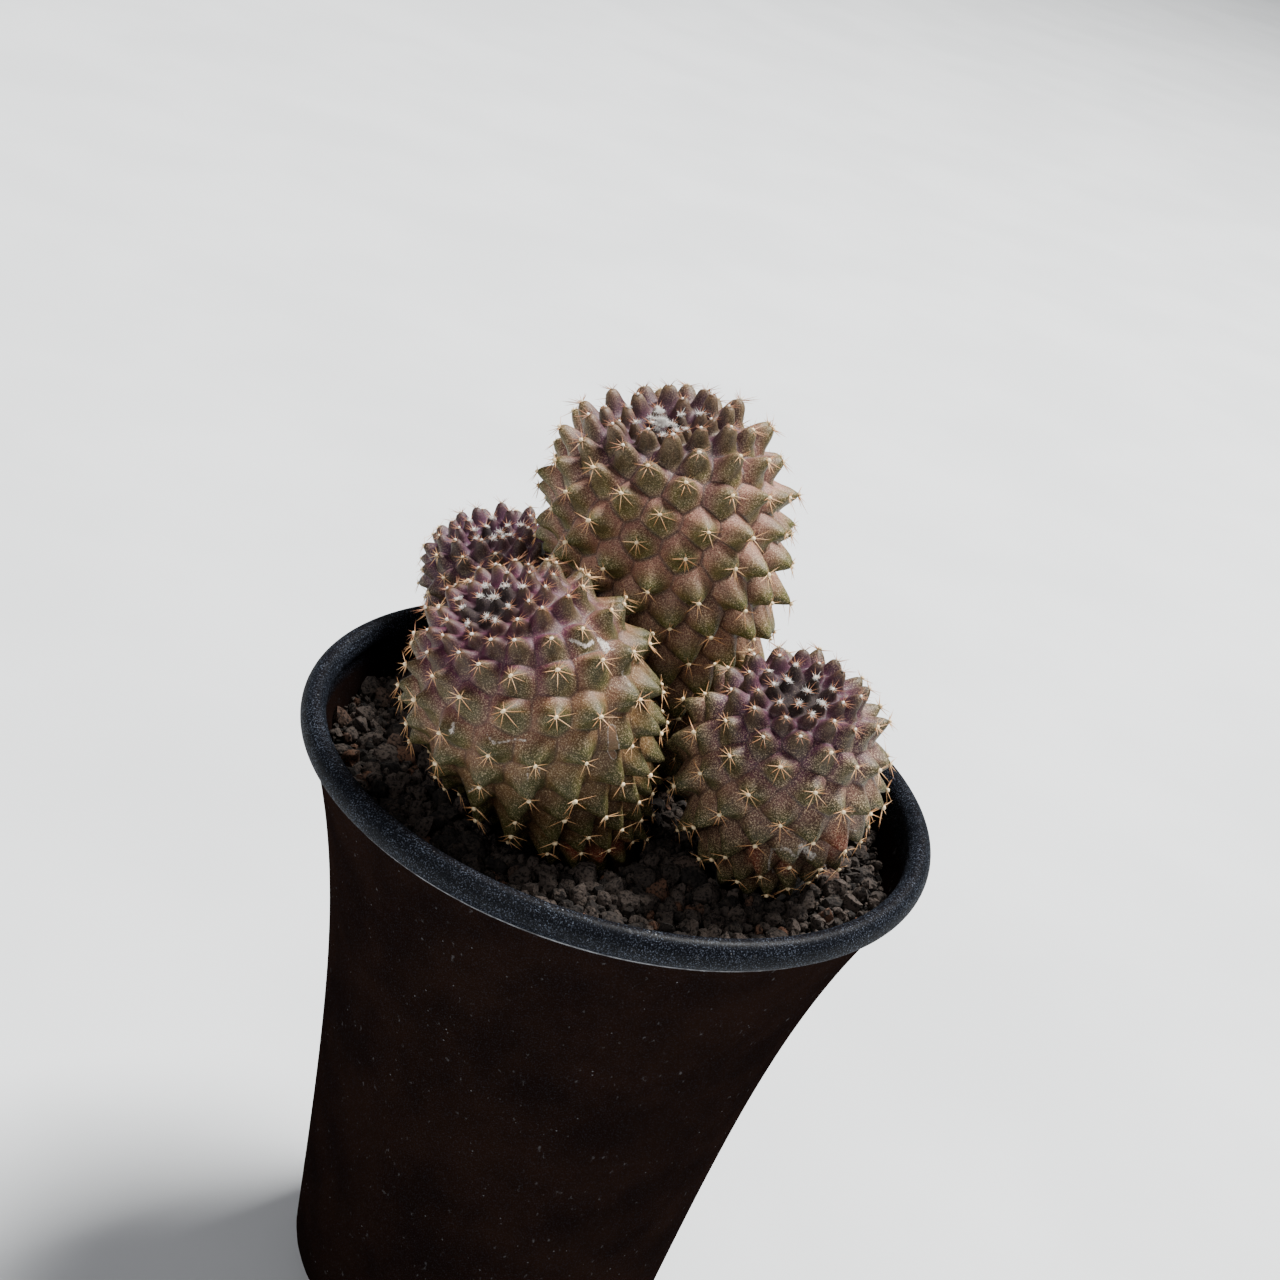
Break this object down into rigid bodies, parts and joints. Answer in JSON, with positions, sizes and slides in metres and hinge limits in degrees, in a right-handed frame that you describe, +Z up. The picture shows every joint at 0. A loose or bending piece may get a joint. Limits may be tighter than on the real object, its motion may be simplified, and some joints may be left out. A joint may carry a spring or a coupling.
{
  "type": "potted copiapoa tenuissima",
  "caption": "Clump of tubercled cactus stems with star-shaped spines in a flared black plastic pot filled with dark gravel.",
  "frame": {"origin": "on the surface the pot stands on, under the middle of the pot", "axes": "+Z up along the pot's axis, -Y towards the front, where the picture's camera stands, +X to its right"},
  "size_m": [0.1048, 0.1048, 0.1705],
  "materials": {
    "pot_plastic": "matte black moulded plastic with fine grain, dust specks and light scuffs",
    "gravel": "dry charcoal-brown porous grit, matte",
    "skin_tall": "olive tubercles with mauve creases, finely speckled, slightly waxy",
    "skin_front_left": "olive and brownish pink skin with purple crown, finely speckled",
    "skin_front_right": "olive skin turning dark purple at the crown, finely speckled",
    "skin_back_left": "dark purple skin with olive tips, finely speckled"
  },
  "bodies": {
    "root": {"pot": "pot_plastic", "soil": "gravel", "stem_tall": "skin_tall", "stem_front_left": "skin_front_left", "stem_front_right": "skin_front_right", "stem_back_left": "skin_back_left"}
  },
  "joints": []
}
